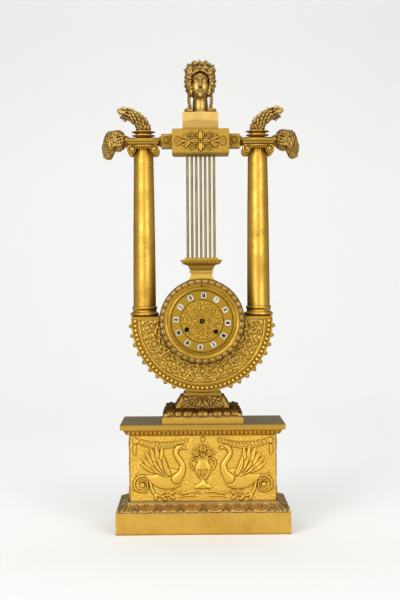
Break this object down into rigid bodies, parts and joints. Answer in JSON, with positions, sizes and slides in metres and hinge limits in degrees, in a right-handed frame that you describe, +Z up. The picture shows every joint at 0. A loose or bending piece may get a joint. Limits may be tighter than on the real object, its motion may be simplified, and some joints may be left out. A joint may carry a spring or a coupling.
{
  "type": "lyre clock",
  "caption": "Gilt-bronze lyre-shaped mantel clock: pedestal, crescent body with drum movement, hinged glazed bezel, columns, string rods, yoke with rams' heads and a bust",
  "frame": {"origin": "middle of the plinth's underside", "axes": "+Z up, front toward -Y, +X to the viewer's right"},
  "size_m": [0.272, 0.126, 0.6503],
  "materials": {
    "gilt": "fire-gilt bronze, burnished and matt",
    "dark_gilt": "worn gilding on the back",
    "brass": "polished brass",
    "steel": "blued and grey steel",
    "enamel": "white enamel",
    "glass": "clear glass"
  },
  "bodies": {
    "case": {"plinth": "gilt", "leaf_moulding": "gilt", "die": "gilt", "die_reliefs": "gilt", "cornice": "gilt", "tie_rods": "steel", "foot_block": "gilt", "lyre_foot": "gilt", "neck_slab": "gilt", "crescent": "gilt", "crescent_border": "gilt", "crescent_back": "dark_gilt", "drum": "gilt", "string_capital": "gilt", "strings": "gilt", "column_bases": "gilt", "left_column": "gilt", "right_column": "gilt", "capitals": "gilt", "yoke_bar": "gilt", "yoke_block": "gilt", "rosette_blocks": "gilt", "left_ram_head": "gilt", "right_ram_head": "gilt", "finial_cups": "gilt", "left_beast": "gilt", "right_beast": "gilt", "herm": "gilt", "bust_head": "gilt", "dial_surround": "gilt", "dial": "gilt", "numeral_plaques": "enamel", "front_plate": "brass", "back_plate": "brass", "plate_pillars": "brass", "movement_straps": "brass", "clicks": "steel", "suspension_cock": "brass", "bell_stand": "steel", "bell": "brass"},
    "bezel": {"bezel": "gilt", "bezel_glass": "glass"},
    "back_door": {"back_door": "dark_gilt"},
    "going_barrel": {"going_barrel": "brass"},
    "going_winder": {"going_winder": "steel"},
    "strike_barrel": {"strike_barrel": "brass"},
    "strike_winder": {"strike_winder": "steel"},
    "going_second_wheel": {"going_second_wheel": "brass"},
    "centre_wheel": {"centre_wheel": "brass"},
    "third_wheel": {"third_wheel": "brass"},
    "escape_wheel": {"escape_wheel": "brass"},
    "pallets": {"pallets": "steel"},
    "pendulum": {"pendulum": "steel"},
    "minute_wheel": {"minute_wheel": "brass"},
    "hour_wheel": {"hour_wheel": "brass"},
    "strike_second_wheel": {"strike_second_wheel": "brass"},
    "pin_wheel": {"pin_wheel": "brass"},
    "warning_wheel": {"warning_wheel": "brass"},
    "fly": {"fly": "brass"},
    "hammer": {"hammer": "steel"}
  },
  "joints": [
    {"name": "bezel_hinge", "type": "hinge", "parent": "case", "child": "bezel", "pos_m": [0.058, -0.0442, 0.2875], "axis": [0, 0, 1], "range_deg": [0, 110]},
    {"name": "back_door_hinge", "type": "hinge", "parent": "case", "child": "back_door", "pos_m": [0.058, 0.036, 0.2875], "axis": [0, 0, -1], "range_deg": [0, 140]},
    {"name": "centre_wheel_spin", "type": "hinge", "parent": "case", "child": "centre_wheel", "pos_m": [0, 0, 0.2875], "axis": [0, 1, 0], "continuous": true},
    {"name": "going_second_wheel_spin", "type": "hinge", "parent": "case", "child": "going_second_wheel", "pos_m": [0.01617, 0, 0.2942], "axis": [0, 1, 0], "continuous": true},
    {"name": "going_barrel_spin", "type": "hinge", "parent": "case", "child": "going_barrel", "pos_m": [0.01876, 0, 0.27336], "axis": [0, 1, 0], "continuous": true},
    {"name": "third_wheel_spin", "type": "hinge", "parent": "case", "child": "third_wheel", "pos_m": [0.00103, 0, 0.30228], "axis": [0, 1, 0], "continuous": true},
    {"name": "escape_wheel_spin", "type": "hinge", "parent": "case", "child": "escape_wheel", "pos_m": [0.002, 0, 0.31617], "axis": [0, 1, 0], "continuous": true},
    {"name": "minute_wheel_spin", "type": "hinge", "parent": "case", "child": "minute_wheel", "pos_m": [-0.00084, 0, 0.27553], "axis": [0, 1, 0], "continuous": true},
    {"name": "hour_wheel_spin", "type": "hinge", "parent": "case", "child": "hour_wheel", "pos_m": [0, 0, 0.2875], "axis": [0, 1, 0], "continuous": true},
    {"name": "pin_wheel_spin", "type": "hinge", "parent": "case", "child": "pin_wheel", "pos_m": [-0.01828, 0, 0.31287], "axis": [0, 1, 0], "continuous": true},
    {"name": "strike_second_wheel_spin", "type": "hinge", "parent": "case", "child": "strike_second_wheel", "pos_m": [-0.01508, 0, 0.29638], "axis": [0, 1, 0], "continuous": true},
    {"name": "strike_barrel_spin", "type": "hinge", "parent": "case", "child": "strike_barrel", "pos_m": [-0.02054, 0, 0.27611], "axis": [0, 1, 0], "continuous": true},
    {"name": "warning_wheel_spin", "type": "hinge", "parent": "case", "child": "warning_wheel", "pos_m": [-0.00875, 0, 0.31615], "axis": [0, 1, 0], "continuous": true},
    {"name": "fly_spin", "type": "hinge", "parent": "case", "child": "fly", "pos_m": [-0.01107, 0, 0.32373], "axis": [0, 1, 0], "continuous": true},
    {"name": "going_winder_spin", "type": "hinge", "parent": "case", "child": "going_winder", "pos_m": [0.01876, 0, 0.27336], "axis": [0, 1, 0], "range_deg": [0, 1920]},
    {"name": "strike_winder_spin", "type": "hinge", "parent": "case", "child": "strike_winder", "pos_m": [-0.02054, 0, 0.27611], "axis": [0, 1, 0], "range_deg": [-1920, 0]},
    {"name": "pendulum_swing", "type": "hinge", "parent": "case", "child": "pendulum", "pos_m": [0.00274, 0, 0.32664], "axis": [0, 1, 0], "range_deg": [-4, 4]},
    {"name": "pallets_rock", "type": "hinge", "parent": "case", "child": "pallets", "pos_m": [0.00274, 0, 0.32664], "axis": [0, 1, 0], "range_deg": [-4, 4]},
    {"name": "hammer_lift", "type": "hinge", "parent": "case", "child": "hammer", "pos_m": [-0.03081, 0, 0.30569], "axis": [0, 1, 0], "range_deg": [0, 14], "stiffness_Nm_per_rad": 0.005, "springref_deg": -17.19}
  ],
  "couplings": [
    {"joint": "going_second_wheel_spin", "follows": "centre_wheel_spin", "ratio": -0.16667},
    {"joint": "going_barrel_spin", "follows": "centre_wheel_spin", "ratio": 0.027778},
    {"joint": "third_wheel_spin", "follows": "centre_wheel_spin", "ratio": -12},
    {"joint": "escape_wheel_spin", "follows": "centre_wheel_spin", "ratio": 180},
    {"joint": "minute_wheel_spin", "follows": "centre_wheel_spin", "ratio": -0.33333},
    {"joint": "hour_wheel_spin", "follows": "centre_wheel_spin", "ratio": 0.083333},
    {"joint": "strike_second_wheel_spin", "follows": "pin_wheel_spin", "ratio": -0.11111},
    {"joint": "strike_barrel_spin", "follows": "pin_wheel_spin", "ratio": 0.018519},
    {"joint": "warning_wheel_spin", "follows": "pin_wheel_spin", "ratio": -6},
    {"joint": "fly_spin", "follows": "pin_wheel_spin", "ratio": 30},
    {"joint": "pallets_rock", "follows": "pendulum_swing", "ratio": 1}
  ]
}
